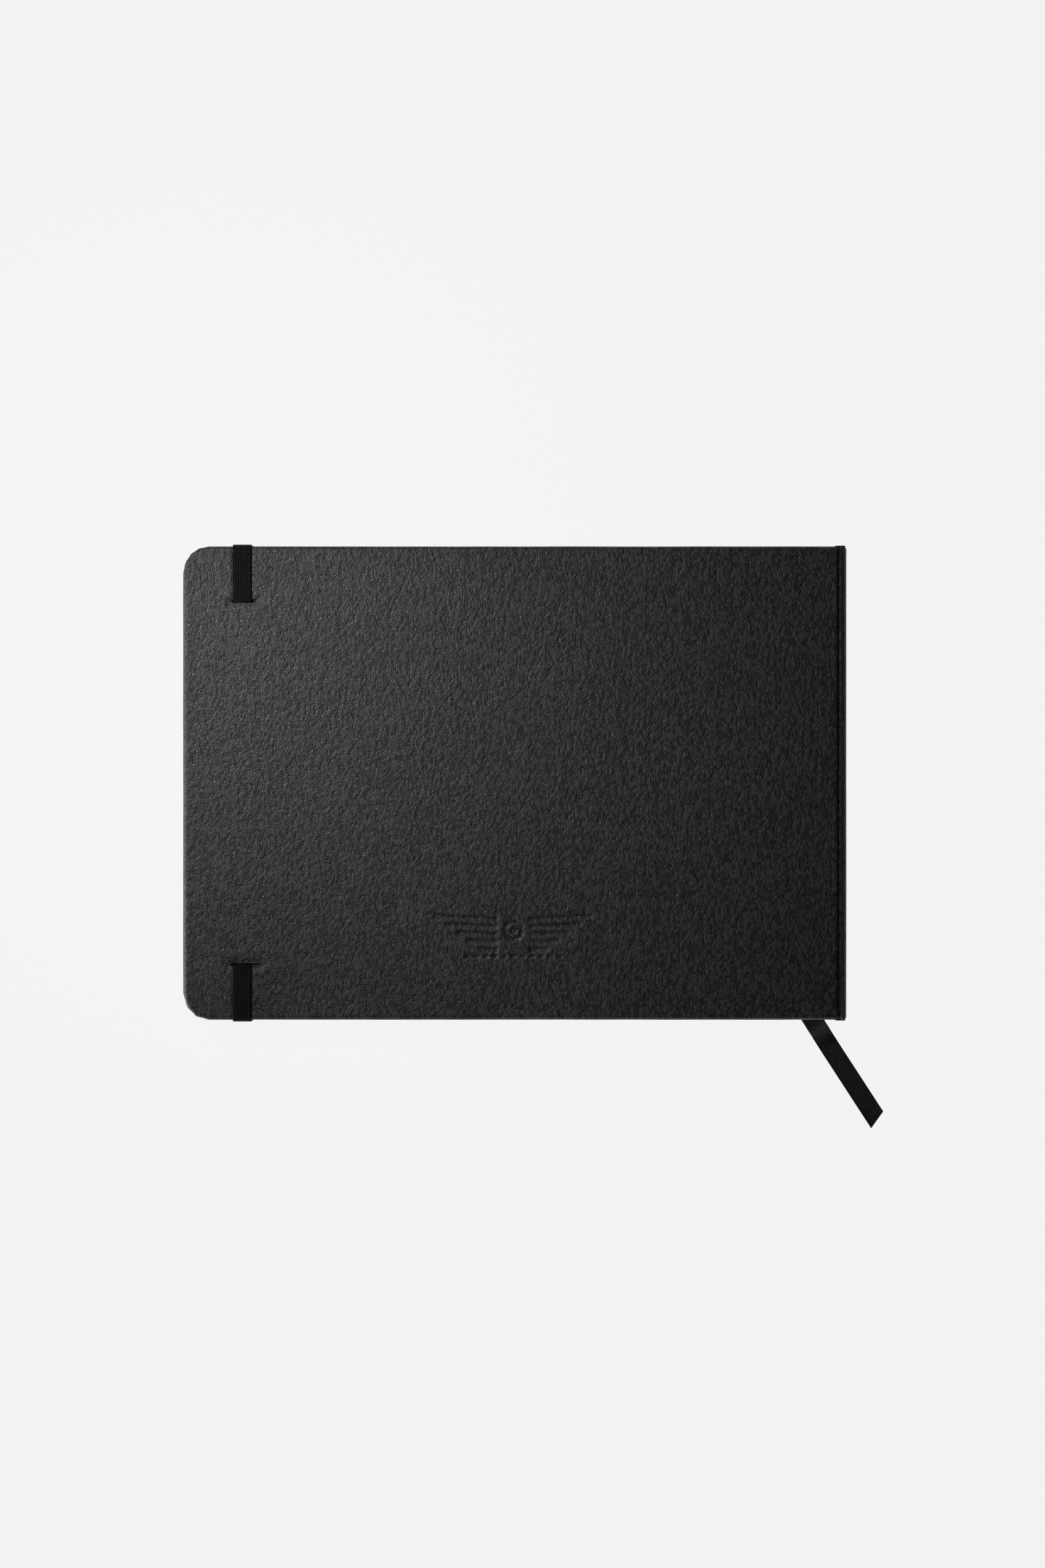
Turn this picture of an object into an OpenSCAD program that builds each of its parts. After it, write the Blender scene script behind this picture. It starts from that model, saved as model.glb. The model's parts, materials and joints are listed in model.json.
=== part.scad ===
// Pilot logbook: a case-bound landscape book with a leatherette cover, an elastic
// closure that passes through two slits in the back cover, and a ribbon marker.
// It lies on its front cover. X runs from the fore edge to the spine, Y from the
// tail to the head, Z up. The origin is under the middle of the closed book.

/* [Pages] */
// Width of a page, from fold to fore edge
page_w = 209; // [180:1:240]
// Height of a page, from tail to head
page_h = 148; // [120:1:170]
// Thickness of one folded section of sheets
section_t = 1.2; // [1.1:0.05:1.5]
// Radius of the page corners at the fore edge
page_corner_r = 6; // [3:0.5:9]
// Thickness of the endpapers
endpaper_t = 0.2; // [0.15:0.01:0.25]

/* [Cover] */
// Thickness of the greyboard in each cover
board_t = 2.2; // [1.8:0.1:3]
// Thickness of the leatherette
covering_t = 0.45; // [0.35:0.05:0.6]
// How far the cover stands past the pages at head and tail
square_h = 3; // [2:0.25:4]
// How far the back cover stands past the pages at the fore edge
square_w = 2.65; // [2:0.05:4]
// Radius of the cover's fore-edge corners
cover_corner_r = 8; // [5:0.5:12]
// How far the front cover lies past the back one, from the book's lean
lean = 1.3; // [0.5:0.1:2]
// Width of the leatherette turned in over the board's inner face
turn_in_w = 15; // [12:1:18]

/* [Spine] */
// Width of the crease between a board and the spine
crease_w = 1.5; // [1.2:0.1:2]
// How far the crease lies below the cover's face
crease_depth = 0.55; // [0.4:0.05:0.8]
// Thickness of the card that stiffens the spine
inlay_t = 1.2; // [1:0.1:1.5]

/* [Elastic] */
// Width of the elastic
elastic_w = 6; // [5:0.5:8]
// Thickness of the elastic
elastic_t = 0.6; // [0.5:0.05:0.7]
// Distance from the back cover's fore edge to the middle of the elastic
elastic_inset = 19; // [16:1:30]
// Distance from head or tail to the slit that the elastic comes out of
slit_inset = 17.8; // [14:0.1:24]
// Length of a slit
slit_len = 8; // [7:0.5:12]

/* [Ribbon] */
// Width of the ribbon
ribbon_w = 6.4; // [4:0.2:8]
// Thickness of the ribbon
ribbon_t = 0.25; // [0.15:0.05:0.25]

/* [Hidden] */
$fn = 64;
SECTIONS = 8;

// Small gaps between neighbours
slip = 0.04;        // between sheets that part when the book opens
section_gap = 0.02; // between two sections
spine_r = 1.5;      // rounding of the spine's two long edges
eps = 1;            // how far a cutting tool runs past a face
slack = 0.3;        // between the elastic and the sides of its channel

// Places along X
fold_inset = 0.85;  // from a board's spine edge in to the folds of the sections
total_w = covering_t + inlay_t + crease_w + fold_inset + page_w + square_w + lean;
spine_x = total_w / 2;
inlay_x = spine_x - covering_t - inlay_t;
board_x = inlay_x - crease_w;
fold_x = board_x - fold_inset;
page_fore_x = fold_x - page_w;
back_fore_x = page_fore_x - square_w;
front_fore_x = back_fore_x - lean;
elastic_x = back_fore_x + elastic_inset;
leaf_x = board_x - 2;   // where the endpapers leave the joint

// Places along Y
half_page = page_h / 2;
half_cover = half_page + square_h;
half_board = half_cover - covering_t;
slit_y = half_cover - slit_inset;

// Places along Z, from the front cover's outer face upwards
turn_t = covering_t;
front_board_z = covering_t;
front_turn_z = front_board_z + board_t;
front_paste_z = front_turn_z + turn_t;
ribbon_z = front_paste_z + endpaper_t + slip;
front_leaf_z = ribbon_z + 0.25 + slip;
block_z = front_leaf_z + endpaper_t + slip;
block_t = SECTIONS * section_t;
back_leaf_z = block_z + block_t + slip;
back_paste_z = back_leaf_z + endpaper_t + slip;
back_turn_z = back_paste_z + endpaper_t;
back_board_z = back_turn_z + turn_t;
back_cover_z = back_board_z + board_t;
total_z = back_cover_z + covering_t;

// A section thins towards its fold, which is what lets the opened sections fan out
taper_len = 14;
fold_t = 0.14;

// The back of the text block, outwards from the folds
thread_r = 0.14;
mull_x = fold_x + 0.36;
mull_t = 0.25;
lining_t = 0.2;
stitch_stations = [-60, -42, -14, 14, 42, 60];
headband_r = 0.7;
headband_tab = 8;

// The channel that the elastic presses into the front cover
channel_depth = elastic_t + 0.05;
channel_w = elastic_w + 2 * slack;

// Inner ends of the elastic, glued under the back board
tab_len = 22;
slit_w = elastic_t + 0.2;
slit_shift = 0.7;   // the slits run on a little past the elastic on its spine side

// The ribbon's middle line: x from the board's spine edge, y, and height over the table.
// It lies on the front pastedown, leaves at the tail and comes down to the table.
ribbon_route = [
    [-7.0, 73.0, ribbon_z], [-7.2, 66.0, ribbon_z], [-8.0, 55.0, ribbon_z],
    [-9.4, 42.0, ribbon_z], [-11.4, 28.0, ribbon_z], [-13.8, 13.0, ribbon_z],
    [-16.0, -2.0, ribbon_z], [-17.8, -16.0, ribbon_z], [-18.8, -29.0, ribbon_z],
    [-18.8, -41.0, ribbon_z], [-17.8, -51.0, ribbon_z], [-15.8, -60.0, ribbon_z],
    [-13.2, -67.0, ribbon_z], [-10.2, -72.6, ribbon_z], [-7.2, -77.4, ribbon_z],
    [-6.2, -79.0, ribbon_z - 0.25], [-5.3, -80.4, ribbon_z - 0.9], [-4.5, -81.6, ribbon_z - 1.7],
    [-3.7, -82.9, 0.95], [-2.8, -84.3, 0.4], [-1.7, -86.0, 0.12],
    [-0.3, -88.2, 0.05], [4.0, -94.8, 0.05], [9.0, -102.5, 0.05], [14.4, -110.8, 0.05]
];
ribbon_cut = 1.25;  // how much further one corner of the cut end reaches than the middle

// ---- shapes that several parts share ----

// Outline of a sheet with two round corners at the fore edge
module sheet_outline(x_fore, x_spine, half_h, r) {
    translate([x_fore + r, -half_h]) square([x_spine - x_fore - r, 2 * half_h]);
    translate([x_fore, -half_h + r]) square([2 * r, 2 * (half_h - r)]);
    for (side = [-1, 1])
        translate([x_fore + r, side * (half_h - r)]) circle(r);
}

module slab(x_fore, x_spine, half_h, r, z, t) {
    translate([0, 0, z])
        linear_extrude(height = t) sheet_outline(x_fore, x_spine, half_h, r);
}

// A block given by its low corner and its high corner
module block(low, high) {
    translate(low) cube([high.x - low.x, high.y - low.y, high.z - low.z]);
}

module board(x_fore, z) {
    slab(x_fore + covering_t, board_x, half_board, cover_corner_r - covering_t, z, board_t);
}

// Inside the turned-in leatherette, open to the spine side
module infill_shape(x_fore, z, past) {
    slab(x_fore + covering_t + turn_in_w, board_x + past, half_board - turn_in_w, 1, z, turn_t);
}

module pastedown(x_fore, z) {
    margin = 2.5;
    slab(x_fore + margin, leaf_x, half_cover - margin, cover_corner_r - margin, z, endpaper_t);
}

module flyleaf(z) {
    slab(page_fore_x, leaf_x, half_page, page_corner_r, z, endpaper_t);
}

// ---- front cover ----

// The channel under the elastic, widened and deepened by grow
module elastic_channel(grow) {
    block([elastic_x - channel_w / 2 - grow, -half_cover - eps, -eps],
          [elastic_x + channel_w / 2 + grow, half_cover + eps, channel_depth + grow]);
}

module front_board() {
    color("tan") difference() {
        board(front_fore_x, front_board_z);
        elastic_channel(covering_t);
    }
}

module front_infill() {
    color("linen") infill_shape(front_fore_x, front_turn_z, 0);
}

module front_covering() {
    color([0.09, 0.09, 0.1]) difference() {
        slab(front_fore_x, board_x, half_cover, cover_corner_r, 0, front_paste_z);
        difference() {
            board(front_fore_x, front_board_z);
            elastic_channel(covering_t);
        }
        infill_shape(front_fore_x, front_turn_z, eps);
        elastic_channel(0);
    }
}

module front_pastedown() {
    color("ivory") pastedown(front_fore_x, front_paste_z);
}

// ---- ribbon ----

function flat_unit(v) = let (l = norm([v.x, v.y])) [v.x / l, v.y / l];

// Direction across the ribbon at point i, kept level
function ribbon_side(i) =
    let (p = ribbon_route,
         a = p[max(i - 1, 0)],
         b = p[min(i + 1, len(p) - 1)],
         d = flat_unit([b.x - a.x, b.y - a.y]))
    [-d.y, d.x];

// The cut end slants, so its corners move along the ribbon by opposite amounts
function ribbon_slant(i, side) =
    let (n = len(ribbon_route),
         a = ribbon_route[n - 2],
         b = ribbon_route[n - 1],
         d = flat_unit([b.x - a.x, b.y - a.y]))
    i < n - 1 ? [0, 0] : d * (-side * ribbon_cut);

function ribbon_corner(i, side, up) =
    let (p = ribbon_route[i],
         s = ribbon_side(i) * (side * ribbon_w / 2) + ribbon_slant(i, side))
    [board_x + p.x + s.x, p.y + s.y, p.z + up * ribbon_t];

module ribbon_marker() {
    n = len(ribbon_route);
    points = [for (i = [0 : n - 1]) each
        [ribbon_corner(i, -1, 0), ribbon_corner(i, 1, 0),
         ribbon_corner(i, 1, 1), ribbon_corner(i, -1, 1)]];
    sides = [for (i = [0 : n - 2], k = [0 : 3])
        let (a = 4 * i + k, b = 4 * i + (k + 1) % 4, c = b + 4, d = a + 4)
        each [[a, c, b], [a, d, c]]];
    ends = [[0, 1, 2], [0, 2, 3],
            [4 * n - 4, 4 * n - 2, 4 * n - 3], [4 * n - 4, 4 * n - 1, 4 * n - 2]];
    color([0.05, 0.05, 0.06]) polyhedron(points, concat(sides, ends));
}

// ---- spine ----

// A strip with its two outer long edges rounded, the spine's shape seen from its end
module spine_bar(x_low, x_high, half_h, inset, r) {
    translate([0, half_h, 0]) rotate([90, 0, 0]) linear_extrude(height = 2 * half_h)
        intersection() {
            translate([x_low, inset]) square([x_high - x_low, total_z - 2 * inset]);
            union() {
                translate([x_low, inset + r])
                    square([x_high - x_low, total_z - 2 * (inset + r)]);
                translate([x_low - 2 * r, inset])
                    square([x_high + r - x_low, total_z - 2 * inset]);
                for (z = [inset + r, total_z - inset - r])
                    translate([x_high - r, z]) circle(r);
            }
        }
}

module spine_inlay() {
    color("tan")
        spine_bar(inlay_x, inlay_x + inlay_t, half_board, covering_t, spine_r - covering_t);
}

module spine_covering() {
    color([0.09, 0.09, 0.1]) difference() {
        spine_bar(inlay_x, spine_x, half_cover, 0, spine_r);
        spine_bar(inlay_x - eps, inlay_x + inlay_t, half_board, covering_t, spine_r - covering_t);
    }
}

// The strip of leatherette that folds between a board and the spine
module joint_web(z) {
    color([0.07, 0.07, 0.08])
        block([board_x, -half_board, z], [inlay_x, half_board, z + covering_t]);
}

module spine_mull() {
    color("whitesmoke") block([mull_x, -half_page + 10, block_z],
                              [mull_x + mull_t, half_page - 10, block_z + block_t]);
}

module spine_lining_paper() {
    x = mull_x + mull_t;
    color("burlywood") block([x, -half_page + 2, block_z],
                             [x + lining_t, half_page - 2, block_z + block_t]);
}

// Link stitches across the folds, with a kettle stitch knot at each section's ends
module sewing_threads() {
    x = fold_x + 0.06 + thread_r;
    color("white") for (y = stitch_stations) {
        translate([x, y, block_z]) cylinder(r = thread_r, h = block_t, $fn = 24);
        if (abs(y) == max(stitch_stations))
            for (k = [0 : SECTIONS - 1])
                translate([x, y, block_z + (k + 0.5) * section_t])
                    rotate([90, 0, 0]) cylinder(r = thread_r, h = 2.4, center = true, $fn = 24);
    }
}

// A cloth roll over the end of the folds, with a tab glued to the back of the block
module end_band(side) {
    y = half_page + headband_r + 0.02;
    tab_y = half_page - 2 - headband_tab;
    z_low = block_z + slip;
    z_high = block_z + block_t - slip;
    translate([fold_x - 0.15, side * y, z_low]) cylinder(r = headband_r, h = z_high - z_low);
    if (side > 0)
        block([mull_x, tab_y + 0.02, z_low], [mull_x + mull_t, y, z_high]);
    else
        block([mull_x, -y, z_low], [mull_x + mull_t, -tab_y - 0.02, z_high]);
}

// ---- text block ----

module section(k) {
    z = block_z + (k - 0.5) * section_t;
    t = section_t - section_gap;
    color("cornsilk") intersection() {
        translate([0, half_page + eps, z]) rotate([90, 0, 0])
            linear_extrude(height = page_h + 2 * eps)
                polygon([[fold_x, -fold_t / 2], [fold_x, fold_t / 2],
                         [fold_x - taper_len, t / 2], [page_fore_x - eps, t / 2],
                         [page_fore_x - eps, -t / 2], [fold_x - taper_len, -t / 2]]);
        slab(page_fore_x, fold_x + eps, half_page, page_corner_r, z - section_t, 2 * section_t);
    }
}

// ---- back cover ----

// The slots that the elastic comes out through, one near the head and one near the tail
module slots(length, width) {
    for (side = [-1, 1])
        translate([elastic_x + slit_shift - length / 2, side * slit_y - width / 2, 0])
            cube([length, width, total_z + eps]);
}

module back_board() {
    color("tan") difference() {
        board(back_fore_x, back_board_z);
        slots(slit_len + 4, 3 * slit_w);
    }
}

module back_infill() {
    color("linen") difference() {
        infill_shape(back_fore_x, back_turn_z, 0);
        for (side = [-1, 1])
            tab_bed(side, 0.1, eps);
    }
}

module back_covering() {
    color([0.09, 0.09, 0.1]) difference() {
        slab(back_fore_x, board_x, half_cover, cover_corner_r, back_turn_z, total_z - back_turn_z);
        board(back_fore_x, back_board_z);
        infill_shape(back_fore_x, back_turn_z, eps);
        slots(slit_len, slit_w);
    }
}

module back_pastedown() {
    color("ivory") pastedown(back_fore_x, back_paste_z);
}

// ---- elastic ----

// The flat inner end of the elastic, grown by side_gap, with past added below and above
module tab_bed(side, side_gap, past) {
    y_out = side * (slit_y + elastic_t / 2) + side * side_gap;
    y_in = side * (slit_y - tab_len) - side * side_gap;
    block([elastic_x - elastic_w / 2 - side_gap, min(y_in, y_out), back_turn_z - past],
          [elastic_x + elastic_w / 2 + side_gap, max(y_in, y_out), back_board_z + past]);
}

module elastic_tab(side) {
    color([0.04, 0.04, 0.04]) {
        tab_bed(side, 0, 0);
        block([elastic_x - elastic_w / 2, side * slit_y - elastic_t / 2, back_turn_z],
              [elastic_x + elastic_w / 2, side * slit_y + elastic_t / 2, total_z + elastic_t]);
    }
}

// From a slit over the edge of the back cover and down past the pages
module elastic_run(side) {
    y_start = slit_y + elastic_t / 2;
    color([0.04, 0.04, 0.04]) scale([1, side, 1]) {
        block([elastic_x - elastic_w / 2, y_start, total_z],
              [elastic_x + elastic_w / 2, half_cover + elastic_t, total_z + elastic_t]);
        block([elastic_x - elastic_w / 2, half_cover, elastic_t + 0.02],
              [elastic_x + elastic_w / 2, half_cover + elastic_t, total_z + elastic_t]);
    }
}

module elastic_front_run() {
    y = half_cover + elastic_t;
    color([0.04, 0.04, 0.04])
        block([elastic_x - elastic_w / 2, -y, 0.02], [elastic_x + elastic_w / 2, y, elastic_t + 0.02]);
}

front_board();
front_infill();
front_covering();
front_pastedown();
ribbon_marker();
spine_inlay();
spine_covering();
spine_lining_paper();
spine_mull();
sewing_threads();
color("firebrick") end_band(1);  // headband
color("firebrick") end_band(-1);  // tailband
joint_web(crease_depth);  // front_joint_web
joint_web(total_z - crease_depth - covering_t);  // back_joint_web
color("ivory") flyleaf(front_leaf_z);  // front_flyleaf
color("ivory") flyleaf(back_leaf_z);  // back_flyleaf
for (k = [1 : SECTIONS])
    section(k);
back_board();
back_infill();
back_covering();
back_pastedown();
elastic_tab(1);  // elastic_head_tab
elastic_tab(-1);  // elastic_tail_tab
elastic_run(1);  // elastic_head_run
elastic_run(-1);  // elastic_tail_run
elastic_front_run();
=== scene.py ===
import json
import math
import random

import bmesh
import bpy
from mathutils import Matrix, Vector, noise


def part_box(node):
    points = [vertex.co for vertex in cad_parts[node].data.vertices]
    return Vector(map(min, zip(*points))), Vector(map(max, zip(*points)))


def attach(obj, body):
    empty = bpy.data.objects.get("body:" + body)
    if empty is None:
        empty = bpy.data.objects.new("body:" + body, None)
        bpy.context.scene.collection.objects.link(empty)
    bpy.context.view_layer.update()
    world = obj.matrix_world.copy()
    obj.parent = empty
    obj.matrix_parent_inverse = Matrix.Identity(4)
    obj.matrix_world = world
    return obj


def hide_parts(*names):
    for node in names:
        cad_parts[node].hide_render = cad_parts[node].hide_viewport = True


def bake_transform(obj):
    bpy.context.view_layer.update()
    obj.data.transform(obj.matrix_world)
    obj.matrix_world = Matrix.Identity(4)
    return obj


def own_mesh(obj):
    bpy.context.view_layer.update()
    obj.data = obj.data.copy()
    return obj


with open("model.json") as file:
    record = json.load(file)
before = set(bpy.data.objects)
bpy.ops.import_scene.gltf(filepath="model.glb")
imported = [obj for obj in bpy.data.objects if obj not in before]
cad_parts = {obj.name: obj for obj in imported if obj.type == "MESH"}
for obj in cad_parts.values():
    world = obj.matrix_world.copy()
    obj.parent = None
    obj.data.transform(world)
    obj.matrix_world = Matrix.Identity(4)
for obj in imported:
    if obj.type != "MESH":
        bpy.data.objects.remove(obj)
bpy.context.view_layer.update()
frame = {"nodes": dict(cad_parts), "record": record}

bl_info = {
    "name": "Pilot logbook",
    "version": (1, 0, 0),
    "blender": (4, 5, 0),
    "location": "View3D > Sidebar > Logbook",
    "description": "Builds the looks of a case-bound flight logbook over its CAD frame",
    "category": "Object",
}

MM = 0.001


# ---- places that come from the frame ----

BACK_LOW, BACK_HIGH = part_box("back_covering")
FRONT_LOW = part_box("front_covering")[0]
INLAY_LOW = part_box("spine_inlay")[0]
SPINE_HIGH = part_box("spine_covering")[1]
HEAD_RUN_LOW, HEAD_RUN_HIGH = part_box("elastic_head_run")
FRONT_RUN_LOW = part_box("elastic_front_run")[0]
HEAD_TAB_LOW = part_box("elastic_head_tab")[0]
PAGE_LOW, PAGE_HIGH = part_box("section_1")

BOARD_END = BACK_HIGH[0]
HALF_COVER = BACK_HIGH[1]
TOP_Z = BACK_HIGH[2]
COVER_T = BACK_HIGH[2] - BACK_LOW[2]
ELASTIC_X = (HEAD_RUN_LOW[0] + HEAD_RUN_HIGH[0]) / 2
ELASTIC_W = HEAD_RUN_HIGH[0] - HEAD_RUN_LOW[0]
ELASTIC_T = HEAD_RUN_HIGH[2] - TOP_Z
SLIT_Y = HEAD_RUN_LOW[1] - ELASTIC_T / 2
FOLD_X = PAGE_HIGH[0]
PAGE_FORE = PAGE_LOW[0]
HALF_PAGE = PAGE_HIGH[1]
SECTION_NAMES = ["section_%d" % k for k in range(1, 9)]

# How far the leatherette is turned in over a board's inner face, and how thick it is there
TURN_IN = 15 * MM
COVERING_T = 0.45 * MM

# A wave texture of scale 1 repeats about every 0.314 m
WAVE_REPEAT = 0.314

# The paper sweep: the flat floor's radius, the bend's radius, the wall above it, and its lowering
SWEEP_FLAT = 3.0
SWEEP_BEND = 0.8
SWEEP_WALL = 1.2
SWEEP_DROP = 0.05 * MM

# The camera looks straight down from this height over the back cover
CAMERA_X = 0.0030
CAMERA_Y = -0.0003
CAMERA_HEIGHT = 1.416

# The studio's lights: place, aim, size in metres, power in watts and spread in degrees.
# The key comes from the upper left; three low lights reach the edges and hardly touch the cover
LIGHTS = {
    "key_upper_left": ((-0.29, 0.18, 0.52), (-0.075, 0.045, 0), (0.12, 0.12), 0.23, 47),
    "edge_light_tail": ((0.35, -1.1, 0.16), (0, 0, 0.01), (0.5, 0.2), 0.8, 120),
    "rim_fore_edge": ((-1.2, -0.45, 0.07), (-0.1, 0, 0.01), (0.9, 0.08), 6.0, 90),
    "edge_light_head": ((-0.45, 1.1, 0.16), (0, 0, 0.01), (0.5, 0.2), 0.8, 120),
}

# The ribbon's middle line: x from the board's spine edge, y, and height, in millimetres
PASTE_TOP = 3.34
RIBBON_ROUTE = [
    (-7.0, 73.0, PASTE_TOP), (-7.2, 66.0, PASTE_TOP), (-8.0, 55.0, PASTE_TOP),
    (-9.4, 42.0, PASTE_TOP), (-11.4, 28.0, PASTE_TOP), (-13.8, 13.0, PASTE_TOP),
    (-16.0, -2.0, PASTE_TOP), (-17.8, -16.0, PASTE_TOP), (-18.8, -29.0, PASTE_TOP),
    (-18.8, -41.0, PASTE_TOP), (-17.8, -51.0, PASTE_TOP), (-15.8, -60.0, PASTE_TOP),
    (-13.2, -67.0, PASTE_TOP), (-10.2, -72.6, PASTE_TOP), (-7.2, -77.4, PASTE_TOP),
    (-6.2, -79.0, PASTE_TOP - 0.25), (-5.3, -80.4, PASTE_TOP - 0.9),
    (-4.5, -81.6, PASTE_TOP - 1.7), (-3.7, -82.9, 0.95), (-2.8, -84.3, 0.4),
    (-1.7, -86.0, 0.12), (-0.3, -88.2, 0.05), (4.0, -94.8, 0.05),
    (9.0, -102.5, 0.05), (14.4, -110.8, 0.05),
]


# ---- the sizes and colours that a user would change ----

class CoverSettings(bpy.types.PropertyGroup):
    """Shape of the leatherette case"""

    corner_radius: bpy.props.FloatProperty(
        name="Corner radius", description="Radius of the covers' fore-edge corners",
        default=8.0 * MM, unit="LENGTH")
    edge_radius: bpy.props.FloatProperty(
        name="Edge rounding", description="Rounding of the leatherette over a board's edge",
        default=1.15 * MM, unit="LENGTH")
    groove_depth: bpy.props.FloatProperty(
        name="Crease depth", description="Depth of the crease between board and spine",
        default=0.75 * MM, unit="LENGTH")
    emblem_depth: bpy.props.FloatProperty(
        name="Emblem depth", description="How deep the blocked emblem is pressed",
        default=0.34 * MM, unit="LENGTH")
    grain_size: bpy.props.FloatProperty(
        name="Grain size", description="Width of one pebble of the embossed grain",
        default=0.58 * MM, unit="LENGTH")
    colour: bpy.props.StringProperty(
        name="Leatherette colour", description="sRGB hex value", default="#2b2b2d")


class PageSettings(bpy.types.PropertyGroup):
    """Leaves of the text block"""

    leaves: bpy.props.IntProperty(
        name="Leaves", description="Leaves in one section", default=8, min=2, max=12)
    corner_radius: bpy.props.FloatProperty(
        name="Page corner radius", description="Radius of the leaves' fore-edge corners",
        default=6.0 * MM, unit="LENGTH")
    colour: bpy.props.StringProperty(
        name="Paper colour", description="sRGB hex value", default="#f1ecdc")
    ruling: bpy.props.FloatProperty(
        name="Ruling", description="Distance between the printed lines",
        default=7.0 * MM, unit="LENGTH")


class TrimSettings(bpy.types.PropertyGroup):
    """Elastic and ribbon"""

    ribs: bpy.props.IntProperty(
        name="Ribs", description="Lengthwise ribs across the elastic", default=8, min=4, max=12)
    rib_height: bpy.props.FloatProperty(
        name="Rib height", description="Height of a rib of the elastic",
        default=0.09 * MM, unit="LENGTH")
    ribbon_width: bpy.props.FloatProperty(
        name="Ribbon width", description="Width of the ribbon marker",
        default=6.4 * MM, unit="LENGTH")
    ribbon_thickness: bpy.props.FloatProperty(
        name="Ribbon thickness", description="Thickness of the ribbon marker",
        default=0.22 * MM, unit="LENGTH")


# ---- small tools ----

def clamp(value, low=0.0, high=1.0):
    return max(low, min(high, value))


def smooth(value):
    t = clamp(value)
    return t * t * (3 - 2 * t)


def linear_colour(hex_value):
    """An sRGB hex value as linear RGBA"""
    text = hex_value.lstrip("#")
    channels = [int(text[i:i + 2], 16) / 255 for i in (0, 2, 4)]
    return [c / 12.92 if c <= 0.04045 else ((c + 0.055) / 1.055) ** 2.4 for c in channels] + [1.0]


def add_node(tree, kind, settings=None, inputs=None):
    """Adds a shader node; an input given as a socket is linked, any other is its value"""
    made = tree.nodes.new(kind)
    for name, value in (settings or {}).items():
        setattr(made, name, value)
    for name, value in (inputs or {}).items():
        if isinstance(value, bpy.types.NodeSocket):
            tree.links.new(value, made.inputs[name])
        else:
            made.inputs[name].default_value = value
    return made


def start_material(name, shader_inputs):
    """A new material with its Principled shader and the Object coordinates"""
    material = bpy.data.materials.new(name)
    material.use_nodes = True
    tree = material.node_tree
    tree.nodes.clear()
    shader = add_node(tree, "ShaderNodeBsdfPrincipled", None, shader_inputs)
    output = add_node(tree, "ShaderNodeOutputMaterial")
    tree.links.new(shader.outputs["BSDF"], output.inputs["Surface"])
    place = add_node(tree, "ShaderNodeTexCoord").outputs["Object"]
    return material, tree, shader, place


def set_ramp(ramp_node, stops):
    ramp = ramp_node.color_ramp
    while len(ramp.elements) < len(stops):
        ramp.elements.new(0.5)
    for element, (position, colour) in zip(ramp.elements, stops):
        element.position = position
        element.color = colour


def emboss(tree, shader, height, strength, distance):
    """Gives a shader its bump from a height socket"""
    bump = add_node(tree, "ShaderNodeBump", None, {
        "Height": height, "Strength": strength, "Distance": distance})
    tree.links.new(bump.outputs["Normal"], shader.inputs["Normal"])


def tint(tree, socket, factor, stops):
    """Colours a shader's socket by a ramp of (position, hex value) over factor"""
    ramp = add_node(tree, "ShaderNodeValToRGB", None, {"Fac": factor})
    set_ramp(ramp, [(position, linear_colour(value)) for position, value in stops])
    tree.links.new(ramp.outputs["Color"], socket)


def spread(stops):
    """Places from the first one to each (end, step) pair's end, at that pair's own step"""
    places = [stops[0]]
    for end, step in stops[1:]:
        start = places[-1]
        count = max(1, round((end - start) / step))
        places += [start + (end - start) * i / count for i in range(1, count + 1)]
    return places


def grid_sheet(mesh, across, along):
    """A bmesh grid whose columns stand at across and rows at along"""
    made = bmesh.ops.create_grid(
        mesh, x_segments=len(across) - 1, y_segments=len(along) - 1, size=1.0)
    for v in made["verts"]:
        i = round((v.co.x + 1) / 2 * (len(across) - 1))
        j = round((v.co.y + 1) / 2 * (len(along) - 1))
        v.co = (across[i], along[j], 0.0)
    return made["verts"]


def round_corners(verts, fore, half, radius):
    """Draws a sheet's two square corners at the fore edge in to quarter circles"""
    for v in verts:
        a = (fore + radius - v.co.x) / radius
        b = (abs(v.co.y) - (half - radius)) / radius
        if a <= 0 or b <= 0:
            continue
        side = 1 if v.co.y > 0 else -1
        v.co.x = fore + radius - a * math.sqrt(1 - b * b / 2) * radius
        v.co.y = side * (half - radius + b * math.sqrt(1 - a * a / 2) * radius)


def finish_mesh(name, mesh, materials, shade_smooth=True):
    """Turns a bmesh into an object of the scene"""
    data = bpy.data.meshes.new(name)
    mesh.to_mesh(data)
    mesh.free()
    for material in materials:
        data.materials.append(material)
    for polygon in data.polygons:
        polygon.use_smooth = shade_smooth
    made = bpy.data.objects.new(name, data)
    bpy.context.scene.collection.objects.link(made)
    return made


def add_modifier(piece, kind, **settings):
    modifier = piece.modifiers.new(kind.title(), kind)
    for name, value in settings.items():
        setattr(modifier, name, value)


def curve_points(points, steps):
    """A smooth line through the points: Catmull-Rom, with steps points in each stretch"""
    ends = [2 * points[0] - points[1]] + list(points) + [2 * points[-1] - points[-2]]
    line = []
    for p0, p1, p2, p3 in zip(ends, ends[1:], ends[2:], ends[3:]):
        for k in range(steps):
            t = k / steps
            line.append(0.5 * (2 * p1 + (p2 - p0) * t + (2 * p0 - 5 * p1 + 4 * p2 - p3) * t * t
                               + (3 * p1 - p0 - 3 * p2 + p3) * t ** 3))
    line.append(points[-1])
    return line


# ---- materials ----

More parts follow.
